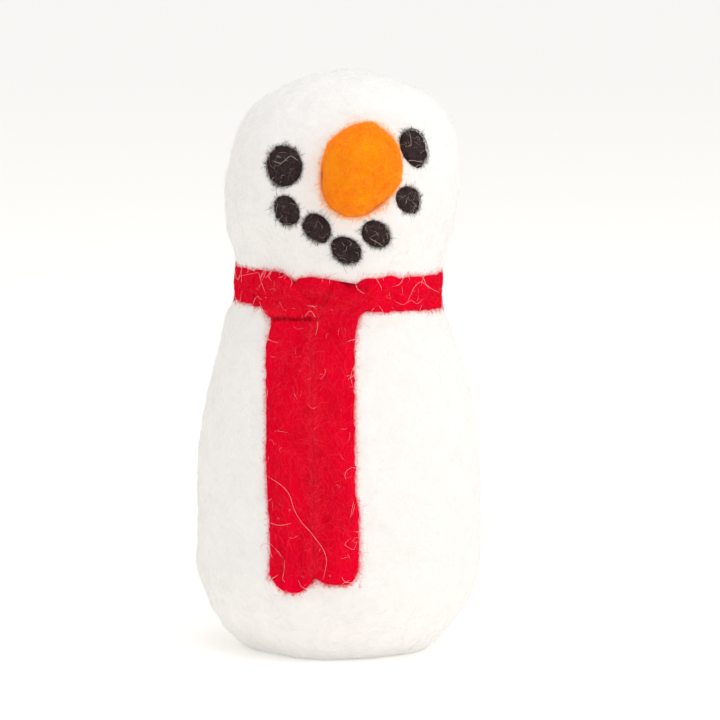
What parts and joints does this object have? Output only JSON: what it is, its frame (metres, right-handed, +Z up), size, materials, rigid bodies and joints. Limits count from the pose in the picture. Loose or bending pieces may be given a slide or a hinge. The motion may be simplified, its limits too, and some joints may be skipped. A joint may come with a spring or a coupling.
{
  "type": "felted snowman figure",
  "caption": "Free-standing snowman figure of felted wool with a domed head, orange nose, black eyes and smile, and a red scarf with two tails.",
  "frame": {"origin": "centre of the flat foot the figure stands on", "axes": "+Z up through the head, -Y the way the face looks, +X to the viewer's right when facing the snowman"},
  "size_m": [0.0443, 0.0483, 0.0894],
  "materials": {
    "core_wool": "undyed felted core wool, hidden inside",
    "white_wool": "firm white felt with fine stray fibres",
    "orange_wool": "orange felt with darker and lighter patches",
    "black_wool": "brown-black felt with pale stray fibres",
    "red_wool": "bright red felt with a fuzzy edge"
  },
  "bodies": {
    "root": {"body_core": "core_wool", "head_core": "core_wool", "body_cover": "white_wool", "head_cover": "white_wool", "nose": "orange_wool", "eye_left": "black_wool", "eye_right": "black_wool", "mouth_coal_1": "black_wool", "mouth_coal_2": "black_wool", "mouth_coal_3": "black_wool", "mouth_coal_4": "black_wool", "mouth_coal_5": "black_wool", "scarf_neck_band": "red_wool", "scarf_crossover": "red_wool", "scarf_tail_left": "red_wool", "scarf_tail_right": "red_wool"}
  },
  "joints": []
}
